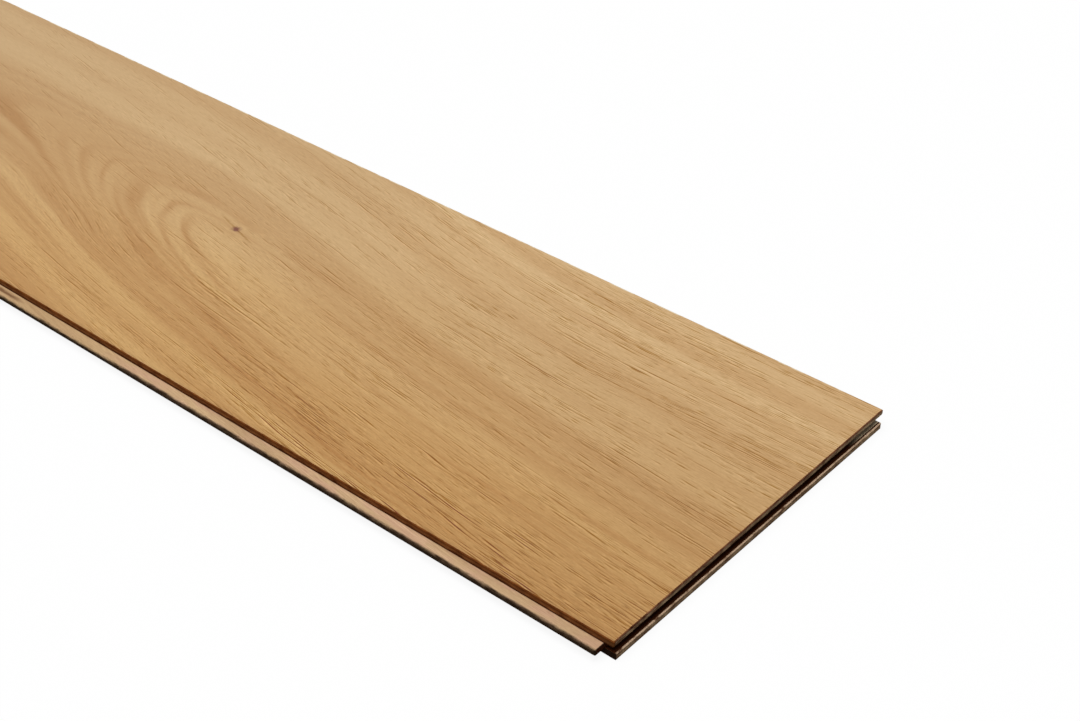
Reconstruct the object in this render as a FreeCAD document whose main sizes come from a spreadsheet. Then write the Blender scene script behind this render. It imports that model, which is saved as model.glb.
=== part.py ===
import FreeCAD, Part
import math
import os
import Sketcher

# A wide plank floorboard: one piece of wood stock with a flat face, a tongue along one long side and
# one end, and a matching groove along the other long side and end, so that boards lock together.
# X runs along the board towards the grooved end, Y across it towards the grooved side, Z up.
# The origin lies on the underside, below the middle of the face.

doc = FreeCAD.newDocument("floorboard")

# Driving sizes in millimetres
sheet = doc.addObject("Spreadsheet::Sheet", "sizes")
sizes = [
    ("face_length", 1900.0),
    ("face_width", 190.5),
    ("thickness", 10.0),
    ("edge_bevel", 0.4),
    ("tongue_drop", 3.4),
    ("tongue_thickness", 3.0),
    ("tongue_nose", 0.6),
    ("side_tongue_reach", 5.9),
    ("end_tongue_reach", 4.4),
    ("fit_clearance", 0.1),
    ("groove_end_room", 0.4),
    ("side_lead_in", 1.2),
    ("end_lead_in", 0.7),
    ("side_setback", 0.8),
    ("side_lip_setback", 0.2),
    ("end_setback", 0.8),
    ("end_lip_reach", 0.4),
    ("corner_radius", 1.2),
    ("cutter_overrun", 1.0),
]
for row, (name, value) in enumerate(sizes, start=1):
    sheet.set(f"A{row}", name)
    sheet.set(f"B{row}", str(value))
    sheet.setAlias(f"B{row}", name)
doc.recompute()

# Heights above the underside, shared by the tongue and groove of the sides and of the ends
face = "sizes.thickness"
tongue_top = "sizes.thickness - sizes.tongue_drop"
tongue_under = f"{tongue_top} - sizes.tongue_thickness"
groove_top = f"{tongue_top} + sizes.fit_clearance"
groove_floor = f"{tongue_under} - sizes.fit_clearance"

# Planes of the face's four edges
tongue_side = "-sizes.face_width / 2"
groove_side = "sizes.face_width / 2"
tongue_end = "-sizes.face_length / 2"
groove_end = "sizes.face_length / 2"


def new_sketch(body, name, role):
    """An empty sketch on one of the body's own origin planes."""
    sketch = body.newObject("Sketcher::SketchObject", name)
    plane = next(f for f in body.Origin.OriginFeatures if f.Role == role)
    sketch.AttachmentSupport = [(plane, "")]
    sketch.MapMode = "FlatFace"
    return sketch


def add_outline(sketch, corners):
    """A closed outline of straight lines whose corners are bound to the sheet, two expressions each."""
    first = sketch.GeometryCount
    count = len(corners)
    turn = 2 * math.pi / count
    ring = [FreeCAD.Vector(math.cos(turn * i), math.sin(turn * i), 0) for i in range(count)]
    for i in range(count):
        sketch.addGeometry(Part.LineSegment(ring[i], ring[(i + 1) % count]))
    for i in range(count):
        sketch.addConstraint(Sketcher.Constraint("Coincident", first + i, 2, first + (i + 1) % count, 1))
    for i, (across, up) in enumerate(corners):
        for kind, size in (("DistanceX", across), ("DistanceY", up)):
            start = ring[i].x if kind == "DistanceX" else ring[i].y
            index = sketch.addConstraint(Sketcher.Constraint(kind, first + i, 1, start))
            sketch.setExpression(f"Constraints[{index}]", size)


def add_corner_round(sketch, air_side):
    """The sliver between a square corner at the sketch's origin and a quarter round inside it.

    The open air lies towards +X, and towards +Y or -Y as air_side is 1 or -1."""
    radius = "sizes.corner_radius"
    over = "sizes.cutter_overrun"
    path = [
        ((0, -1), "0", f"{-air_side} * {radius}"),
        ((1, -1), over, f"{-air_side} * {radius}"),
        ((1, 1), over, f"{air_side} * {over}"),
        ((-1, 1), f"-{radius}", f"{air_side} * {over}"),
        ((-1, 0), f"-{radius}", "0"),
    ]
    points = [FreeCAD.Vector(x, air_side * y, 0) for (x, y), _, _ in path]
    for start, stop in zip(points, points[1:]):
        sketch.addGeometry(Part.LineSegment(start, stop))
    centre = FreeCAD.Vector(-1, -air_side, 0)
    circle = Part.Circle(centre, FreeCAD.Vector(0, 0, 1), 1.0)
    quarter = sorted((0.0, air_side * math.pi / 2))
    arc = sketch.addGeometry(Part.ArcOfCircle(circle, quarter[0], quarter[1]))
    on_end, on_side = (1, 2) if air_side > 0 else (2, 1)
    last = arc - 1
    for i in range(last):
        sketch.addConstraint(Sketcher.Constraint("Coincident", i, 2, i + 1, 1))
    sketch.addConstraint(Sketcher.Constraint("Coincident", arc, on_end, 0, 1))
    sketch.addConstraint(Sketcher.Constraint("Coincident", arc, on_side, last, 2))
    for i, (_, along, across) in enumerate(path):
        line, end = (i, 1) if i <= last else (last, 2)
        for kind, size, value in (("DistanceX", along, points[i].x), ("DistanceY", across, points[i].y)):
            index = sketch.addConstraint(Sketcher.Constraint(kind, line, end, value))
            sketch.setExpression(f"Constraints[{index}]", size)
    index = sketch.addConstraint(Sketcher.Constraint("Radius", arc, 1.0))
    sketch.setExpression(f"Constraints[{index}]", radius)


board = doc.addObject("PartDesign::Body", "floorboard")
board.Label = "floorboard"

# Cross-section, moulded along the whole blank: the tongue with its eased nose stands out under the
# face on one side, the groove with flared lips is sunk into the other, and the wood below the joint
# is set back so that the faces close first.
side_groove_back = f"{groove_side} - sizes.side_tongue_reach - sizes.groove_end_room"
side_lip = f"{groove_side} - sizes.side_lip_setback"
side_tongue_tip = f"{tongue_side} - sizes.side_tongue_reach"
side_step = f"{tongue_side} + sizes.side_setback"
section = new_sketch(board, "section", "YZ_Plane")
add_outline(
    section,
    [
        (side_step, "0"),
        (side_lip, "0"),
        (side_lip, f"{groove_floor} - sizes.side_lead_in"),
        (f"{side_lip} - sizes.side_lead_in", groove_floor),
        (side_groove_back, groove_floor),
        (side_groove_back, groove_top),
        (f"{groove_side} - sizes.side_lead_in", groove_top),
        (groove_side, f"{groove_top} + sizes.side_lead_in"),
        (groove_side, f"{face} - sizes.edge_bevel"),
        (f"{groove_side} - sizes.edge_bevel", face),
        (f"{tongue_side} + sizes.edge_bevel", face),
        (tongue_side, f"{face} - sizes.edge_bevel"),
        (tongue_side, tongue_top),
        (f"{side_tongue_tip} + sizes.tongue_nose", tongue_top),
        (side_tongue_tip, f"{tongue_top} - sizes.tongue_nose"),
        (side_tongue_tip, f"{tongue_under} + sizes.tongue_nose"),
        (f"{side_tongue_tip} + sizes.tongue_nose", tongue_under),
        (side_step, tongue_under),
    ],
)
end_tongue_tip = f"{tongue_end} - sizes.end_tongue_reach"
section.setExpression("AttachmentOffset.Base.z", end_tongue_tip)
blank = board.newObject("PartDesign::Pad", "blank")
blank.Profile = section
blank.setExpression("Length", "sizes.face_length + sizes.end_tongue_reach + sizes.end_lip_reach")

# Heights at which the end cutters run clear of the wood
above = f"{face} + sizes.cutter_overrun"
below = "-sizes.cutter_overrun"

# Grooved end, cut right across the board, so it also takes the last of the side tongue away: groove,
# flared lips, the lower lip a little proud of the face's edge and the bevel of the face.
end_groove_back = f"{groove_end} - sizes.end_tongue_reach - sizes.groove_end_room"
end_lip = f"{groove_end} + sizes.end_lip_reach"
groove_end_clear = f"{end_lip} + sizes.cutter_overrun"
groove_end_cut = new_sketch(board, "groove_end_cut", "XZ_Plane")
add_outline(
    groove_end_cut,
    [
        (end_groove_back, groove_floor),
        (f"{end_lip} - sizes.end_lead_in", groove_floor),
        (end_lip, f"{groove_floor} - sizes.end_lead_in"),
        (end_lip, below),
        (groove_end_clear, below),
        (groove_end_clear, above),
        (f"{groove_end} - sizes.edge_bevel - sizes.cutter_overrun", above),
        (groove_end, f"{face} - sizes.edge_bevel"),
        (groove_end, f"{groove_top} + sizes.end_lead_in"),
        (f"{groove_end} - sizes.end_lead_in", groove_top),
        (end_groove_back, groove_top),
    ],
)

# Tongued end, also cut right across: the wood above and below the end tongue goes, and the side
# tongue runs on into the end tongue round the corner.
end_step = f"{tongue_end} + sizes.end_setback"
tongue_end_clear = f"{end_tongue_tip} - sizes.cutter_overrun"
tongue_end_cut = new_sketch(board, "tongue_end_cut", "XZ_Plane")
add_outline(
    tongue_end_cut,
    [
        (tongue_end, tongue_top),
        (tongue_end, f"{face} - sizes.edge_bevel"),
        (f"{tongue_end} + sizes.edge_bevel + sizes.cutter_overrun", above),
        (tongue_end_clear, above),
        (tongue_end_clear, f"{tongue_top} - sizes.tongue_nose"),
        (end_tongue_tip, f"{tongue_top} - sizes.tongue_nose"),
        (f"{end_tongue_tip} + sizes.tongue_nose", tongue_top),
    ],
)
add_outline(
    tongue_end_cut,
    [
        (end_step, tongue_under),
        (f"{end_tongue_tip} + sizes.tongue_nose", tongue_under),
        (end_tongue_tip, f"{tongue_under} + sizes.tongue_nose"),
        (tongue_end_clear, f"{tongue_under} + sizes.tongue_nose"),
        (tongue_end_clear, below),
        (end_step, below),
    ],
)
doc.recompute()

left_to_cut = blank.Shape.Volume
for profile in (groove_end_cut, tongue_end_cut):
    cut = board.newObject("PartDesign::Pocket", f"{profile.Name}_pocket")
    cut.Profile = profile
    cut.Type = "ThroughAll"
    cut.SideType = "Symmetric"
    doc.recompute()
    if not cut.Shape.Volume < left_to_cut:
        raise RuntimeError(f"{cut.Name} cuts nothing")
    left_to_cut = cut.Shape.Volume

# Upright corners at the grooved end that are rounded over, below the upper lip: the far corner of the
# lower lip and the corner that the end cut leaves on the side tongue.
round_height = f"({tongue_top} + {groove_top}) / 2"
for name, along, across, air_side in (
    ("lip_corner", end_lip, side_lip, 1),
    ("tongue_corner", end_groove_back, side_tongue_tip, -1),
):
    profile = new_sketch(board, name, "XY_Plane")
    profile.setExpression("AttachmentOffset.Base.x", along)
    profile.setExpression("AttachmentOffset.Base.y", across)
    add_corner_round(profile, air_side)
    doc.recompute()
    cut = board.newObject("PartDesign::Pocket", f"{name}_pocket")
    cut.Profile = profile
    cut.Reversed = True
    cut.setExpression("Length", round_height)
    doc.recompute()
    if not cut.Shape.Volume < left_to_cut:
        raise RuntimeError(f"{cut.Name} cuts nothing")
    left_to_cut = cut.Shape.Volume

for item in doc.Objects:
    if "Invalid" in item.State or "Error" in item.State:
        raise RuntimeError(f"{item.Name} failed: {item.State}")
if board.Shape.isNull() or not board.Shape.isValid() or len(board.Shape.Solids) != 1:
    raise RuntimeError("the floorboard is not one valid solid")

os.makedirs("parts", exist_ok=True)
board.Shape.exportStep(f"parts/{board.Label}.step")
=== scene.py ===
import math

import bmesh
import bpy
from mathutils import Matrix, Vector, noise


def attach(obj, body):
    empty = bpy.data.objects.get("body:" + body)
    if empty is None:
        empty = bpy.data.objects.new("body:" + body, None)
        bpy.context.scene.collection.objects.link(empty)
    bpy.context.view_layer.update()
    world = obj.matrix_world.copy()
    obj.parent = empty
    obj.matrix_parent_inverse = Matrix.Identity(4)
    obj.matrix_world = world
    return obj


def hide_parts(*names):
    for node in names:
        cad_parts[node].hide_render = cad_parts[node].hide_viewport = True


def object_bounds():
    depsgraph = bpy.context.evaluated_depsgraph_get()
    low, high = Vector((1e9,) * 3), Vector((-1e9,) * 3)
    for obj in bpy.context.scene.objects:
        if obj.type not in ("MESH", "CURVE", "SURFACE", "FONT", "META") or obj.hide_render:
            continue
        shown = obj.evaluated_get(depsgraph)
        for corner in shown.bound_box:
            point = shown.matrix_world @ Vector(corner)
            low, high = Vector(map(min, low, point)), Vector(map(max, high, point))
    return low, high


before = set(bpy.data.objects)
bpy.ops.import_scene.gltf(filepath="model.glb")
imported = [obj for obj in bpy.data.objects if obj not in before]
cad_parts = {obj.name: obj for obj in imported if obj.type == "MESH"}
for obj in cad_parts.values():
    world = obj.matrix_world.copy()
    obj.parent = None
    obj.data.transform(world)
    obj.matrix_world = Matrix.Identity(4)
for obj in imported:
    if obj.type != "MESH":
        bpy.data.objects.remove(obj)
cad_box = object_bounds()

# The board itself: one piece of flat-sawn stock, planed and run through a moulder that cuts the tongue
# and the groove of the long sides, then the ends. Every arris is broken by a touch of fine paper, and
# the cutter leaves the nose of the tongue slightly ragged.
MM = 0.001
face_length = 1900 * MM
face_width = 190.5 * MM
thickness = 10 * MM
grooved_end = face_length / 2
tongue_side = -face_width / 2
arris = 0.12 * MM
arris_facets = 2
sharp_angle = math.radians(20)
flat_angle = math.radians(0.5)
merge_gap = 0.001 * MM
slice_length = 4 * MM

plank_mesh = bpy.data.meshes.new("plank")
bm = bmesh.new()
bm.from_mesh(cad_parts["floorboard"].data)
bmesh.ops.remove_doubles(bm, verts=bm.verts, dist=merge_gap)
bmesh.ops.dissolve_limit(bm, angle_limit=flat_angle, verts=bm.verts, edges=bm.edges)
sharp = [e for e in bm.edges if e.is_convex and e.calc_face_angle(0) > sharp_angle]
bmesh.ops.bevel(
    bm,
    geom=sharp,
    offset=arris,
    offset_type="OFFSET",
    affect="EDGES",
    segments=arris_facets,
    profile=0.5,
    material=-1,
)
slices = int(face_length / slice_length)
for step in range(1, slices):
    bmesh.ops.bisect_plane(
        bm,
        geom=bm.verts[:] + bm.edges[:] + bm.faces[:],
        dist=merge_gap,
        plane_co=(grooved_end - step * slice_length, 0, 0),
        plane_no=(1, 0, 0),
    )

# Chips along the upper arris of the tongue's nose, which leave the corner at the grooved end whole
tongue_top = 6.6 * MM
tongue_nose = 0.6 * MM
side_tip = tongue_side - 5.9 * MM
end_tip = -grooved_end - 4.4 * MM
nose_band = 2 * arris
whole_corner = grooved_end - 6 * MM
chip_start = 4 * MM
chip_depth = 0.9 * MM
chip_fall = 0.5
wave_length = 15 * MM
nick_length = 5.5 * MM
nick_share = 0.7
chipped_anyway = 0.4


def chipped(place):
    """How far the arris of a tongue is chipped back at a place along it."""
    wave = noise.noise(Vector((place / wave_length, 0.0, 1.7)))
    nick = noise.noise(Vector((place / nick_length, 0.0, 4.2)))
    inside = min(1.0, max(0.0, (whole_corner - place) / chip_start))
    return max(0.0, chipped_anyway + wave + nick_share * nick) * chip_depth * inside


for v in bm.verts:
    on_top = v.co.z > tongue_top - nose_band and v.co.z < tongue_top + arris
    on_front = abs(v.co.z - tongue_top + tongue_nose) < nose_band
    if v.co.y < side_tip + tongue_nose + nose_band:
        if on_top:
            v.co.y += chipped(v.co.x)
        elif on_front:
            v.co.z -= chipped(v.co.x) * chip_fall
    elif v.co.x < end_tip + tongue_nose + nose_band:
        if on_top:
            v.co.x += chipped(v.co.y)
        elif on_front:
            v.co.z -= chipped(v.co.y) * chip_fall
bm.to_mesh(plank_mesh)
bm.free()

plank = bpy.data.objects.new("plank", plank_mesh)
bpy.context.scene.collection.objects.link(plank)


class Wire:
    """A number that varies over the wood, carried by a socket. Arithmetic on it adds Math nodes."""

    def __init__(self, tree, socket):
        self.tree = tree
        self.socket = socket

    def sum(self, operation, *others):
        """What a Math node of that kind makes of this number and the others."""
        node = self.tree.nodes.new("ShaderNodeMath")
        node.operation = operation
        for socket, value in zip(node.inputs, (self, *others)):
            feed(self.tree, value, socket)
        return Wire(self.tree, node.outputs[0])

    def __add__(self, other):
        return self.sum("ADD", other)

    def __sub__(self, other):
        return self.sum("SUBTRACT", other)

    def __mul__(self, other):
        return self.sum("MULTIPLY", other)

    def __truediv__(self, other):
        return self.sum("DIVIDE", other)

    def above(self, other):
        return self.sum("MAXIMUM", other)

    def below(self, other):
        return self.sum("MINIMUM", other)

    def rise(self, low, high):
        """0 below low, 1 above high and a smooth step between."""
        node = self.tree.nodes.new("ShaderNodeMapRange")
        node.interpolation_type = "SMOOTHSTEP"
        feed(self.tree, self, node.inputs["Value"])
        feed(self.tree, low, node.inputs["From Min"])
        feed(self.tree, high, node.inputs["From Max"])
        return Wire(self.tree, node.outputs["Result"])

    def fall(self, low, high):
        """1 below low, 0 above high and a smooth step between."""
        return self.rise(low, high) * -1 + 1

    def swing(self, turn, ease):
        """From -1 to 1, turning over gently at one place."""
        return ((self - turn) / ease).sum("TANH")

    def away(self, middle):
        """How far it is from a middle, on either side."""
        return (self - middle).sum("ABSOLUTE")

    def towards(self, other, share):
        """From this number to another as share goes from 0 to 1."""
        return self + (other - self) * share


def feed(tree, value, socket):
    """Links a wire to a socket, or sets a plain value on it."""
    if isinstance(value, Wire):
        tree.links.new(value.socket, socket)
    else:
        socket.default_value = value


def diagonal(first, second):
    """How far a place is that lies one number off along and another across."""
    return (first * first + second * second).sum("SQRT")


def grain_noise(tree, x, y, z, detail=2.0, roughness=0.5):
    """Noise about 0, between -0.5 and 0.5, at a place given in lengths of its own features."""
    place = tree.nodes.new("ShaderNodeCombineXYZ")
    for value, socket in zip((x, y, z), place.inputs):
        feed(tree, value, socket)
    texture = tree.nodes.new("ShaderNodeTexNoise")
    texture.inputs["Scale"].default_value = 1.0
    texture.inputs["Detail"].default_value = detail
    texture.inputs["Roughness"].default_value = roughness
    tree.links.new(place.outputs[0], texture.inputs["Vector"])
    return Wire(tree, texture.outputs["Fac"]) - 0.5


def curve(tree, value, points):
    """A curve drawn through points of (where, height), level beyond the first and the last."""
    low, high = points[0][0], points[-1][0]
    node = tree.nodes.new("ShaderNodeFloatCurve")
    feed(tree, (value - low) / (high - low), node.inputs["Value"])
    line = node.mapping.curves[0]
    node.mapping.use_clip = False
    node.mapping.extend = "HORIZONTAL"
    while len(line.points) < len(points):
        line.points.new(0.5, 0.5)
    for dot, (where, height) in zip(line.points, points):
        dot.location = ((where - low) / (high - low), height)
    node.mapping.update()
    return Wire(tree, node.outputs["Value"])


# The grain: a heart line wanders down the board and the growth rings are cut by the face round it, so
# they show as nested arches. Pores and fibres run along the board and gather in the rings. Places are in
# millimetres: along is 0 at the grooved end and falls from there, across is 0 at the tongued side.
grain = bpy.data.node_groups.new("plank_grain", "ShaderNodeTree")
grain.interface.new_socket("Place", in_out="INPUT", socket_type="NodeSocketVector")
for name in ("Rings", "Fibre", "Pores", "Knot"):
    grain.interface.new_socket(name, in_out="OUTPUT", socket_type="NodeSocketFloat")
group_in = grain.nodes.new("NodeGroupInput")
group_out = grain.nodes.new("NodeGroupOutput")
split = grain.nodes.new("ShaderNodeSeparateXYZ")
grain.links.new(group_in.outputs["Place"], split.inputs[0])
along = (Wire(grain, split.outputs[0]) - grooved_end) / MM
across = (Wire(grain, split.outputs[1]) - tongue_side) / MM
depth = (Wire(grain, split.outputs[2]) - thickness) / -MM
tongued_part = along.fall(-900, -640)

# The heart line, how deep the rings' own middle lies under it, and the rings round that
heart_middle = 88
heart_swing = -35
heart_turn = -297
heart_ease = 205
heart_wander = 110
arch_middle = 31
arch_swing = -21.5
arch_turn = -393
arch_ease = 74
next_arch_swing = 14
next_arch_turn = -1230
next_arch_ease = 120
next_arch_drop = 12
ring_tilt = 0.6
ripple_height = 6
upper_spread = 1.55
lower_spread = 0.75
heart = along.swing(heart_turn, heart_ease) * heart_swing + heart_middle
heart = heart + grain_noise(grain, along / 420, 3.7, 0.0, 1.0) * tongued_part * heart_wander
arch = along.swing(arch_turn, arch_ease) * arch_swing + arch_middle
arch = arch + along.swing(next_arch_turn, next_arch_ease) * next_arch_swing * tongued_part
arch = arch - tongued_part * next_arch_drop
ripple = grain_noise(grain, along / 70, across / 30, 0.0, 2.0) * ripple_height
offset = across - heart + ripple
spread = offset.above(0) * upper_spread + offset.below(0)
deep_arch = arch - depth * ring_tilt
ring = diagonal(spread, deep_arch)

# A small knot with a ragged rim and a thin crack on both sides, which the rings swerve round
knot_x = -328.5
knot_y = 105.3
knot_size = 2.2
knot_squeeze = 0.85
knot_ragged = 3
knot_lean = 0.28
swirl_height = 1.5
knot_edge = grain_noise(grain, along / 2.5, across / 2.5, 4.0, 2.0) * knot_ragged
knot_far = diagonal((along - knot_x) * knot_squeeze, across - knot_y)
knot = (knot_far + knot_edge).fall(knot_size * 0.35, knot_size * 1.35)
swirl = knot_far.fall(1.0, 12.0) * swirl_height
ring = ring + swirl
tail = (across - knot_y + (along - knot_x) * knot_lean).away(0).fall(0.2, 0.9)
tail = tail * along.away(knot_x).fall(9, 18)

# Broad bands of light and dark, drawn over the rings below the heart line and above it
band_level = 0.5
squeeze_at_knot = 18
lower_bands = curve(
    grain,
    ring,
    [(0, 0.5), (14, 0.64), (20, 0.6), (24, 0.5), (28, 0.6), (33, 0.43), (37, 0.48), (46, 0.36), (57, 0.31),
     (62, 0.5), (66, 0.7), (70, 0.58), (76, 0.43), (83, 0.7), (90, 0.5), (99, 0.28), (112, 0.45), (130, 0.6)],
)
knot_part = along.fall(-330, -180)
upper_ring = ring - knot_part * ring.rise(28, 60) * squeeze_at_knot
upper_bands = curve(
    grain,
    upper_ring,
    [(0, 0.3), (12, 0.36), (15, 0.5), (20, 0.4), (26, 0.5), (34, 0.35), (45, 0.44), (53, 0.65), (60, 0.66),
     (74, 0.52), (82, 0.62), (97, 0.5), (106, 0.38), (118, 0.48), (129, 0.58), (144, 0.45), (156, 0.7),
     (171, 0.35), (188, 0.66), (203, 0.42), (218, 0.6), (240, 0.5)],
)
upper = offset.rise(-5, 5)
bands = lower_bands.towards(upper_bands, upper) - band_level

# The nested arches behind the knot, and fainter ones further out
arch_level = 0.6
arch_lift = 0.1
inner_waver = 1.2
outer_waver = 1.6
arch_spread = offset.above(0) * upper_spread + offset.below(0) * lower_spread
waver = grain_noise(grain, along / 16, across / 9, 6.0, 2.0)
arch_ring = diagonal(arch_spread, deep_arch) + swirl
arch_ring = arch_ring + waver * inner_waver
lower_arches = curve(
    grain,
    arch_ring,
    [(10, 0.8), (16, 0.72), (18.4, 0.66), (19.4, 0.54), (20.2, 0.36), (21.2, 0.64), (22.2, 0.7), (23.6, 0.62),
     (24.4, 0.36), (25.0, 0.26), (25.8, 0.52), (27, 0.62), (28.4, 0.56), (30, 0.46), (31.2, 0.28), (33, 0.22),
     (35, 0.24), (36.5, 0.36), (39, 0.38), (42, 0.44)],
)
upper_arches = curve(
    grain,
    arch_ring,
    [(10, 0.66), (18, 0.64), (20, 0.54), (22, 0.54), (23.6, 0.48), (24.6, 0.32), (25.6, 0.4), (27.4, 0.52),
     (29.5, 0.5), (31.5, 0.36), (33, 0.22), (36, 0.17), (38, 0.26), (41, 0.5), (42, 0.52)],
)
arches = lower_arches.towards(upper_arches, upper) - arch_level
arches = arches * (grain_noise(grain, along / 40, across / 25, 8.0, 1.0) * 2.0 + 0.95) + arch_lift
inner = arch_ring.fall(34, 41) * along.fall(-300, -220)
bands = bands.towards(arches, inner)
outer_arches = curve(
    grain,
    ring + waver * outer_waver,
    [(36, 0.5), (39.4, 0.5), (40.6, 0.25), (42, 0.56), (44, 0.5), (45, 0.3), (46.4, 0.55), (49, 0.42),
     (50.4, 0.5), (52, 0.06), (53.8, 0.6), (56, 0.38), (58, 0.52), (60, 0.5), (61.4, 0.25), (63, 0.56),
     (66, 0.36), (68, 0.54), (72, 0.5)],
)
outer_gate = (grain_noise(grain, along / 60, across / 30, 14.0, 1.0) * 2.4 + 0.85).above(0)
outer_arches = (outer_arches - 0.5) * outer_gate * along.fall(-400, -300)

# Fine lines along the rings, quieter above the heart line, and all of the rings together
band_share = 0.58
ring_line_share = 0.42
outer_arch_share = 0.34
quiet = upper * -0.65 + 1
ring_lines = grain_noise(grain, along / 130, ring / 2.6, offset / 70, 2.0)
ring_lines = ring_lines + (ring_lines + 0.07).below(0) * 1.2
rings = bands * band_share + (ring_lines * ring_line_share + outer_arches * outer_arch_share) * quiet

# The flow of the pores: with the heart line on the tongued side, at a slant on the grooved side, and
# round the arches below the knot
near_turn = -160
near_slope = 0.035
lean_ease = 160
far_slope = 0.2
far_start = -28
bend_level = 97
stray_height = 1.6


def past(start):
    """How far a place lies past a start towards the tongued end, beginning gently."""
    whole = ((along - start) / -lean_ease).above(0)
    first = whole.below(1)
    return first * first * 0.5 + whole - first


near_lean = heart - heart_middle - (along.above(near_turn) - near_turn) * near_slope
far_lean = (past(-90) - past(-650)) * (far_slope * lean_ease) + far_start
lean = near_lean.towards(far_lean, across.rise(70, 130))
flow = across - lean + grain_noise(grain, along / 38, across / 9, 6.5, 0.0)
flow = flow + grain_noise(grain, along / 300, across / 3.5, 16.0, 0.0) * stray_height
bent = along.rise(-640, -520) * along.fall(-330, -200)
bent = bent * offset.fall(-40, -15) * across.rise(5, 65)
flow = flow - (ring + flow - bend_level) * bent

# How hard the board is brushed, most at the grooved end and by the tongue, and how the strokes crowd
patchy = grain_noise(grain, along / 260, across / 120, 11.0, 1.0) * tongued_part
near_side = across.fall(15, 50)
near_half = across.fall(50, 110)
brush = near_half * along.fall(-300, -180) * 0.15 + along.rise(-620, -90) * 0.9
brush = brush + near_side * along.rise(-500, -60) * 0.65 + patchy + 0.15
brush = brush + along.fall(-1000, -760) * 0.6
brush = brush + across.rise(70, 120) * along.rise(-240, -150) * (along.rise(-100, -30) * -0.7 + 1) * 0.25
gather = grain_noise(grain, along / 55, flow / 6.5, 2.3, 2.0, 0.6)
crowd = gather * (along.rise(-380, -240) * 0.2 + 0.3) + brush * 0.08
strength = brush * 0.5 + 0.4

# Pores as dark strokes, each with a raised fibre beside it, lightened in colour as a painted highlight as
# well as raised in the relief
stroke_half = 0.27
stroke_start = 0.08
stroke_full = 0.38
long_strokes = (1.3, 100, 24, 0.82)
short_strokes = (0.95, 42, 9, 0.58)
short_share = 0.75
pair_gap = 0.6


def strokes(flow, lane_width, line_length, dash_length, line_share):
    """Thin strokes in broken lines along the grain, one line to a lane, each lane with a luck of its own."""
    lane = flow / lane_width
    row = lane.sum("FLOOR")
    dice = grain.nodes.new("ShaderNodeTexWhiteNoise")
    dice.noise_dimensions = "1D"
    feed(grain, row, dice.inputs["W"])
    luck = Wire(grain, dice.outputs["Value"])
    off_middle = (lane - row + luck * 0.4 - 0.7) * (lane_width / stroke_half)
    line = grain_noise(grain, along / line_length + luck * 53, luck * 77, 5.0, 1.0) * line_share
    dash = grain_noise(grain, along / dash_length + luck * 97, luck * 31, 7.0, 1.0) * (1.5 - line_share)
    drawn = (line + dash + crowd).rise(stroke_start, stroke_full)
    return drawn * (off_middle * off_middle * -1 + 1).above(0)


def brushed_strokes(flow):
    """Long strokes with weaker short ones between them."""
    return strokes(flow, *long_strokes).above(strokes(flow, *short_strokes) * short_share)


pores = brushed_strokes(flow)
ridges_and_highlights = (brushed_strokes(flow + pair_gap) - pores).above(0)
crack = tail * (grain_noise(grain, along / 3, across / 0.8, 9.0, 1.0) + 0.3).above(0) * 1.6
pores = pores.above(crack) * strength
fibre = grain_noise(grain, along / 6, flow / 0.5, 3.0, 2.0, 0.6) * (gather * 2.0 + 0.7).above(0.25)
grit = grain_noise(grain, along / 1.5, flow / 0.6, 15.0, 0.0)
fibre = (fibre * 1.2 + grit * 0.16 + ridges_and_highlights * 0.32) * strength
for wire, name in ((rings, "Rings"), (fibre, "Fibre"), (pores, "Pores"), (knot, "Knot")):
    grain.links.new(wire.socket, group_out.inputs[name])


def tint(red, green, blue):
    """A colour as it looks, 0 to 255 each, in the light that a shader counts in."""
    shades = [c / 255 for c in (red, green, blue)]
    linear = [c / 12.92 if c <= 0.04045 else ((c + 0.055) / 1.055) ** 2.4 for c in shades]
    return (*linear, 1.0)


def blend_colours(tree, factor, first, second):
    """From the first colour to the second as factor goes from 0 to 1."""
    node = tree.nodes.new("ShaderNodeMix")
    node.data_type = "RGBA"
    feed(tree, factor, node.inputs[0])
    feed(tree, first, node.inputs[6])
    feed(tree, second, node.inputs[7])
    return Wire(tree, node.outputs[2])


def shade(tree, colour, tone, warmth=(0.9, 1.1, 1.15)):
    """A colour made lighter or darker by a tone about 0, each channel by its own share of it."""
    gain = tree.nodes.new("ShaderNodeVectorMath")
    gain.operation = "MULTIPLY_ADD"
    feed(tree, tone, gain.inputs[0])
    gain.inputs[1].default_value = warmth
    gain.inputs[2].default_value = (1, 1, 1)
    node = tree.nodes.new("ShaderNodeVectorMath")
    node.operation = "MULTIPLY"
    feed(tree, colour if isinstance(colour, Wire) else colour[:3], node.inputs[0])
    tree.links.new(gain.outputs[0], node.inputs[1])
    return Wire(tree, node.outputs[0])


def wood_material(name):
    """A wood finish with the grain placed in it: the material, its tree, and wires for the grain, for the
    place in millimetres from the face's near corner and for how far in from the tongued edges that is."""
    material = bpy.data.materials.new(name)
    material.use_nodes = True
    tree = material.node_tree
    place = tree.nodes.new("ShaderNodeTexCoord")
    node = tree.nodes.new("ShaderNodeGroup")
    node.node_tree = grain
    tree.links.new(place.outputs["Object"], node.inputs["Place"])
    parts = tree.nodes.new("ShaderNodeSeparateXYZ")
    tree.links.new(place.outputs["Object"], parts.inputs[0])
    wires = {o.name: Wire(tree, o) for o in node.outputs}
    wires["x"] = (Wire(tree, parts.outputs[0]) - grooved_end) / MM
    wires["y"] = (Wire(tree, parts.outputs[1]) - tongue_side) / MM
    wires["z"] = Wire(tree, parts.outputs[2]) / MM
    wires["inset"] = wires["y"].below(wires["x"] + face_length / MM)
    return material, tree, wires


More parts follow.
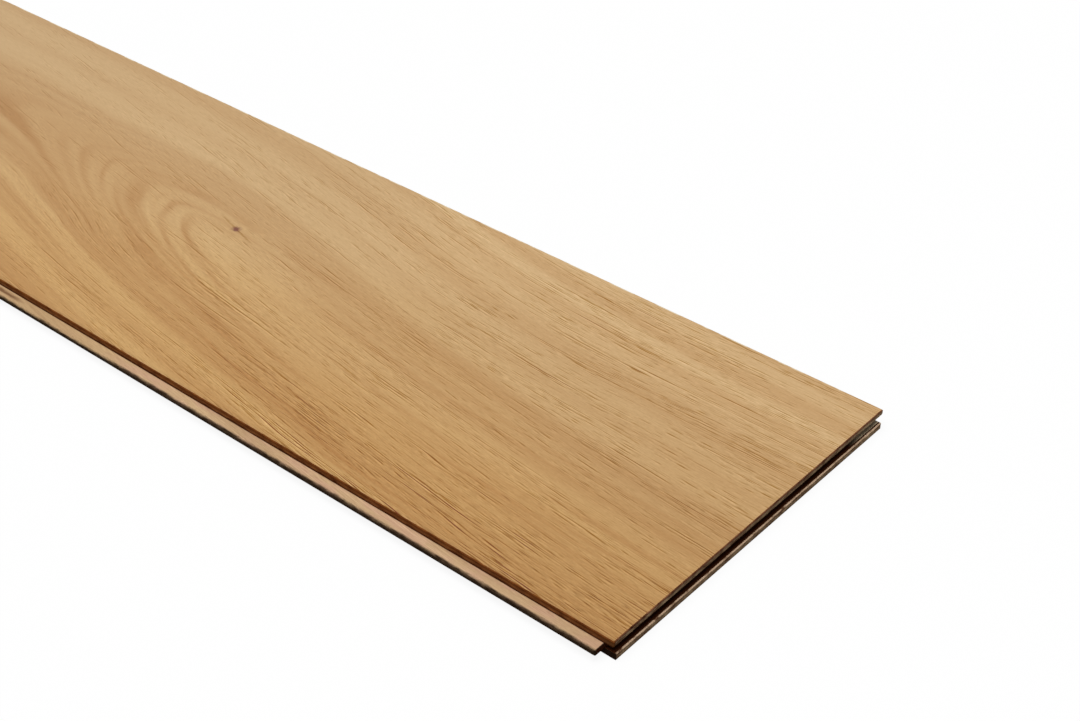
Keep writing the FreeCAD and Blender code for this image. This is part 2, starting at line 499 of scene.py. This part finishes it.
def set_surface(tree, colour, roughness, height, relief, specular):
    """Feeds the material's shader: colour, roughness and the relief as a bump of that depth."""
    shader = tree.nodes["Principled BSDF"]
    feed(tree, colour, shader.inputs["Base Color"])
    feed(tree, roughness, shader.inputs["Roughness"])
    shader.inputs["Specular IOR Level"].default_value = specular
    bump = tree.nodes.new("ShaderNodeBump")
    bump.inputs["Distance"].default_value = relief
    feed(tree, height, bump.inputs["Height"])
    tree.links.new(bump.outputs[0], shader.inputs["Normal"])


# The face of the board, brushed along the grain and given a satin oil. It is paler towards the grooved side
# and more golden towards the tongue, with painted light and shade across it and painted highlights on the
# rims of its far side and grooved end.
finish, tree, w = wood_material("satin_face")
pale_oil = tint(194, 158, 110)
golden_oil = tint(188, 144, 86)
knot_shade = tint(104, 46, 34)
painted_rim_highlight = tint(226, 208, 178)
painted_end_glint = tint(236, 208, 168)
ring_warmth = (0.66, 1.05, 1.55)
pore_warmth = (0.8, 1.05, 1.65)
fibre_warmth = (0.8, 0.95, 1.4)
light_warmth = (0.9, 1.0, 1.15)
rim_warmth = (0.9, 1.0, 1.1)
pore_darkness = -0.8
face_relief = 0.06 * MM
drift = grain_noise(tree, w["x"] / 160, w["y"] / 50, 1.0, 2.0)
base = blend_colours(tree, (w["y"] + drift * 60).rise(10, 170), golden_oil, pale_oil)
# The rings, with painted shade that darkens the face towards the grooved end
base = shade(tree, base, w["Rings"] - w["x"].rise(-330, 60) * 0.07, ring_warmth)
# Painted light on the far side near the grooved end, painted shade by the near side there and towards the
# tongued end
far_light = w["y"].rise(105, 165) * w["x"].rise(-330, -220) * 0.09
near_shade = w["y"].fall(70, 120) * w["x"].rise(-120, -20) * 0.05
middle_shade = w["x"].fall(-640, -380) * w["y"].rise(20, 70) * 0.06
base = shade(tree, base, far_light - near_shade - middle_shade, light_warmth)
base = shade(tree, base, w["Fibre"], fibre_warmth)
base = shade(tree, base, w["Pores"] * pore_darkness, pore_warmth)
near_rim = w["y"].fall(0.6, 2.4)
base = shade(tree, base, near_rim * -0.13, rim_warmth)
base = blend_colours(tree, w["Knot"] * 0.9, base, knot_shade)
# Painted highlight in broken dashes along the far rim of the face
highlight_gate = grain_noise(tree, w["x"] / 14, 0.0, 2.0, 2.0).rise(-0.04, 0.06)
far_rim_highlight = w["y"].rise(189.2, 189.9) * highlight_gate * w["x"].fall(-20, -14)
base = blend_colours(tree, far_rim_highlight, base, painted_rim_highlight)
# Painted glints in specks along the arris of the grooved end
end_glints = grain_noise(tree, w["y"] / 1.6, w["x"] / 4, 7.0, 1.0).rise(0.1, 0.2) * w["x"].rise(-0.6, -0.25)
base = blend_colours(tree, end_glints, base, painted_end_glint)
height = w["Fibre"] * 0.6 - w["Pores"]
roughness = w["Pores"] * 0.2 + w["Fibre"] * 0.2 + 0.5
set_surface(tree, base, roughness, height, face_relief, specular=0.4)

# The moulded edges are left as the cutter leaves them: brown where the wall stands over the tongue, partly
# stain and partly painted shade, nearly black with painted shade inside the grooves and under the tongue, and
# with painted light on the lead-ins of the lips and towards the far side.
edges, tree, w = wood_material("moulded_edge")
lip_wood = tint(182, 147, 113)
wall_top = tint(116, 65, 28)
wall_stain_and_shade = tint(130, 82, 46)
wall_foot_shade = tint(88, 46, 18)
painted_lead_in_light = tint(252, 214, 178)
lit_floor = tint(250, 226, 186)
groove_shade = tint(68, 32, 14)
under_shade = tint(40, 24, 14)
edge_relief = 0.08 * MM
mottle = grain_noise(tree, w["x"] / 7, w["y"] / 7, w["z"] / 1.6, 3.0, 0.6)
# Painted light on the edges towards the far side
far_end_light = w["y"].rise(160, 178)
streak = grain_noise(tree, w["x"] / 6, w["y"] / 5, w["z"] / 3, 2.0, 0.6)
base = shade(tree, lip_wood, w["Rings"] + far_end_light * 0.4 + mottle * 3.2 + streak * 2.8 + 0.08)
# A dark line under the upper arris, and painted shade on the lower part of the upper lip
dark_arris_and_lip_shade = w["z"].rise(9.0, 9.5) * -0.72 - w["z"].fall(7.3, 7.9) * w["z"].rise(5.0, 6.0) * 0.4
base = shade(tree, base, dark_arris_and_lip_shade)
lip_foot = w["z"].fall(0.2, 1.2)
base = shade(tree, base, lip_foot * -0.4)
# Painted light on the lead-ins of the lips
lead_in = w["z"].rise(2.55, 2.85) * w["z"].fall(3.2, 3.38) * w["y"].rise(1.0, 1.6)
base = blend_colours(tree, lead_in * (mottle * 4.0 + streak * 4.0 + 0.85), base, painted_lead_in_light)
# The wall over the tongue: brown, partly stain and partly painted shade, with painted shade at its foot
over_tongue = w["inset"].fall(0.5, 1.5) * w["z"].rise(6.4, 6.7)
wall = blend_colours(tree, (w["z"] + mottle * 2.5).rise(7.0, 8.0), wall_foot_shade, wall_stain_and_shade)
wall = blend_colours(tree, (w["z"] + mottle).rise(8.3, 9.0), wall, wall_top)
wall = shade(tree, wall, mottle * 1.6 + streak * 1.6)
base = blend_colours(tree, over_tongue, base, wall)
# Painted shade inside the grooves
in_groove = w["z"].rise(3.22, 3.38) * w["z"].fall(6.72, 7.2)
base = blend_colours(tree, in_groove, base, groove_shade)
# Painted light on the floor of the end groove near the far corner
lit_end = w["y"].rise(165, 176) * w["x"].fall(-0.9, -0.5) * w["x"].rise(-12, -8)
lit_end = lit_end * w["z"].fall(3.7, 4.2) * w["z"].rise(3.3, 3.45)
base = blend_colours(tree, lit_end * (mottle * 2.0 + 0.95), base, lit_floor)
# Painted shade on the wall under the tongue
under_tongue = w["inset"].fall(1.0, 1.6) * w["z"].fall(3.2, 3.4)
base = blend_colours(tree, under_tongue, base, under_shade)
set_surface(tree, base, 0.85, w["Fibre"] + mottle, edge_relief, specular=0.03)

# The tongue is bare planed wood, pale on top and yellower further along, with smears and one old stain. Its
# chipped nose, its root under the wall and the cut across its grooved end are darkened with painted shade.
tongue, tree, w = wood_material("bare_tongue")
planed = tint(195, 162, 124)
planed_pink = tint(198, 160, 129)
planed_yellow = tint(198, 165, 122)
stain = tint(112, 76, 50)
tongue_edge_shade = tint(48, 33, 21)
root_shade = tint(84, 46, 20)
tongue_relief = 0.06 * MM
hue = grain_noise(tree, w["x"] / 16, w["y"] / 5, 5.0, 2.0).rise(-0.12, 0.12)
base = blend_colours(tree, hue, planed, planed_pink)
yellowed = w["x"].fall(-310, -270)
base = blend_colours(tree, yellowed * 0.8, base, planed_yellow)
base = shade(tree, base, w["Rings"] * 0.6 + w["Fibre"] * 0.6)
ragged = grain_noise(tree, w["x"] / 5, w["y"] / 1.4, w["z"] / 1.4, 3.0, 0.6)
# Painted shade on the nose of the tongue, broken along its ragged edge
from_tip = (w["y"] + (tongue_side - side_tip) / MM).below(w["x"] + (grooved_end - end_tip) / MM)
nose = (from_tip + ragged * 1.6 + yellowed * 0.45).fall(0.25, 1.6)
nose = nose.above((w["z"] + ragged * 0.5).fall(5.9, 6.3)) * w["z"].rise(3.62, 3.8)
nose_shade_mottle = grain_noise(tree, w["x"] / 5, w["y"] / 3, w["z"] / 1.2, 3.0, 0.65)
base = blend_colours(tree, nose * (nose_shade_mottle * -0.5 + 0.96), base, tongue_edge_shade)
# Painted shade in the crease where the tongue meets the wall
root = w["inset"].rise(-0.2, -0.02) * w["z"].rise(6.4, 6.55)
base = blend_colours(tree, root, base, root_shade)
# Painted shade on the cut across the tongue's grooved end
cut_end = w["x"].rise(-5.2, -4.9) * (ragged * -2.0 + 0.75)
base = blend_colours(tree, cut_end, base, tongue_edge_shade)
smear = grain_noise(tree, w["x"] / 30, w["y"] / 4, 8.0, 3.0, 0.6).rise(0.2, 0.34)
base = shade(tree, base, smear * -0.3)
stained = w["x"].rise(-412, -396) * w["x"].fall(-372, -358)
stained = stained * (w["y"] + ragged * 2.0 + 2.5).away(0).fall(0.3, 1.7)
base = blend_colours(tree, stained * 0.85, base, stain)
set_surface(tree, base, 0.8, w["Fibre"], tongue_relief, specular=0.03)

# The back is plain sawn wood with no finish, a little paler and rougher than the face, because it lies
# on the subfloor and is never seen.
back, tree, w = wood_material("sawn_back")
back_wood = tint(188, 154, 114)
back_relief = 0.1 * MM
base = shade(tree, back_wood, w["Rings"] + w["Fibre"] * 0.6)
set_surface(tree, base, 0.9, w["Fibre"], back_relief, specular=0.1)

# Which finish is on which surface: the oil runs over the bevel of the grooved side, and the other bevels
# count as moulded edges
face_slot, edge_slot, tongue_slot, back_slot = range(4)
for material in (finish, edges, tongue, back):
    plank_mesh.materials.append(material)
bevel_depth = 0.41 * MM
bevel_band = 0.5 * MM
level = 0.97
looks_up = 0.3
looks_down = -0.9
back_skin = 0.1 * MM
wall_skin = 0.01 * MM
for polygon in plank_mesh.polygons:
    spot = polygon.center
    on_bevel = polygon.normal.z < level and spot.y < -tongue_side - bevel_band
    if spot.z > thickness - bevel_depth and polygon.normal.z > looks_up and not on_bevel:
        polygon.material_index = face_slot
    elif polygon.normal.z < looks_down and spot.z < back_skin:
        polygon.material_index = back_slot
    elif spot.y < tongue_side - wall_skin or spot.x < -grooved_end - wall_skin:
        polygon.material_index = tongue_slot
    else:
        polygon.material_index = edge_slot

# The map that its colours are baked through for use elsewhere: the face in four lengths, two by two, the
# back in four small ones, and every edge in three strips, for what looks up, down and outwards. Bevels and
# arrises would lie over the tongue or the lip on a strip, so they are shifted clear.
layout = plank_mesh.uv_layers.new(name="OFBake")
part_length = 119 * slice_length
map_edge = 0.002
map_gap = 0.005
map_step = map_gap * 0.8
strip_height = 0.0155
side_strip = Vector((0.996, strip_height))
end_strip = Vector((0.16, strip_height))
back_part = Vector((0.245, 0.085))
face_part = Vector((0.4955, 0.38))
strip_rows = 7
back_start = map_edge + strip_rows * (strip_height + map_step)
face_start = back_start + back_part.y + map_gap
strip_span = 12 * MM
tongued_start = 5.5 * MM
grooved_start = 8.5 * MM
lone_shift = 2 * MM
lone_top = 9 * MM
lone_foot = 0.5 * MM
end_width = 20 * MM
steep = 0.5


def on_map(size, column, start, row, run, rise):
    """A place on a part of the map: its size, column and row, and how far along and up it, 0 to 1."""
    left = map_edge + column * (size.x + map_step)
    foot = start + row * (size.y + map_step)
    return (left + run * size.x, foot + rise * size.y)


for polygon in plank_mesh.polygons:
    middle, normal = polygon.center, polygon.normal
    corners = [plank_mesh.vertices[i].co for i in polygon.vertices]
    part = int((grooved_end - middle.x) / part_length)
    looks = 0 if normal.z > steep else 1 if normal.z < -steep else 2
    wide = max(c.y for c in corners) - min(c.y for c in corners) > end_width
    at_end = abs(normal.x) > abs(normal.y) if looks == 2 else wide
    grooved = middle.x > 0 if at_end else middle.y > 0
    strip = looks + 3 * grooved
    lone = looks < 2 and (middle.z > lone_top or middle.z < lone_foot)
    for loop, corner in zip(polygon.loop_indices, corners):
        run = (grooved_end - corner.x) / part_length - part
        rise = corner.y / face_width + 0.5
        if polygon.material_index == face_slot:
            spot = on_map(face_part, part % 2, face_start, part // 2, run, rise)
        elif polygon.material_index == back_slot:
            spot = on_map(back_part, part, back_start, 0, run, rise)
        else:
            out = abs(corner.x) - grooved_end if at_end else abs(corner.y) + tongue_side
            out += grooved_start + lone * lone_shift if grooved else tongued_start - lone * lone_shift
            rise = (corner.z if looks == 2 else out) / strip_span
            if at_end:
                run = (corner.y - side_tip) / (-tongue_side - side_tip)
                spot = on_map(end_strip, strip, map_edge, strip_rows - 1, run, rise)
            else:
                run = (corner.x - end_tip) / (cad_box[1][0] - end_tip)
                spot = on_map(side_strip, 0, map_edge, strip, run, rise)
        layout.data[loop].uv = spot

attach(plank, "root")
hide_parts("floorboard")

# The floor is a plain pale sheet, much wider than the board, that reads white to the camera and keeps
# the board's soft shadow. It throws little light back up.
floor_reach = 30
paper_grey = 0.1
paper_glow = 0.9
floor_mesh = bpy.data.meshes.new("floor")
bm = bmesh.new()
bmesh.ops.create_grid(bm, x_segments=1, y_segments=1, size=floor_reach)
bm.to_mesh(floor_mesh)
bm.free()
floor = bpy.data.objects.new("floor", floor_mesh)
bpy.context.scene.collection.objects.link(floor)
paper = bpy.data.materials.new("white_paper")
paper.use_nodes = True
tree = paper.node_tree
shader = tree.nodes["Principled BSDF"]
shader.inputs["Base Color"].default_value = (paper_grey, paper_grey, paper_grey, 1)
shader.inputs["Roughness"].default_value = 1.0
shader.inputs["Specular IOR Level"].default_value = 0.0
shader.inputs["Emission Color"].default_value = (1, 1, 1, 1)


def shows(tree):
    """1 where a surface is seen, straight or in a reflection, and 0 where it lights something."""
    seen = tree.nodes.new("ShaderNodeLightPath")
    straight = Wire(tree, seen.outputs["Is Camera Ray"])
    mirrored = straight.above(Wire(tree, seen.outputs["Is Glossy Ray"]))
    return mirrored.above(Wire(tree, seen.outputs["Is Transmission Ray"]))


feed(tree, shows(tree) * paper_glow, shader.inputs["Emission Strength"])
floor_mesh.materials.append(paper)

# Soft studio light from above and a little to the near side, with a weak even fill from a world that
# reads white to the camera.
fill = 0.16
lamp_from = Vector((-0.06, -0.2, 1.0))
lamp = bpy.data.lights.new("softbox", "SUN")
lamp.energy = 2.6
lamp.angle = math.radians(50)
lamp_object = bpy.data.objects.new("softbox", lamp)
lamp_object.rotation_euler = lamp_from.to_track_quat("Z", "Y").to_euler()
bpy.context.scene.collection.objects.link(lamp_object)
world = bpy.data.worlds.new("studio")
world.use_nodes = True
bpy.context.scene.world = world
tree = world.node_tree
backdrop = tree.nodes["Background"]
backdrop.inputs["Color"].default_value = (1, 1, 1, 1)
feed(tree, shows(tree) * (1 - fill) + fill, backdrop.inputs["Strength"])

# The camera stands beyond the grooved end on the tongued side and looks down along the board, so that
# the board runs out of the picture on the left.
camera_data = bpy.data.cameras.new("camera")
camera_data.lens = 63.70
camera_data.sensor_width = 36
camera_data.clip_start = 0.01
camera = bpy.data.objects.new("camera", camera_data)
camera.location = (1.26812, -0.51168, 0.52892)
camera.rotation_euler = (math.radians(53.631), 0, math.radians(40.467))
bpy.context.scene.collection.objects.link(camera)
bpy.context.scene.camera = camera
bpy.context.scene.view_settings.view_transform = "Standard"
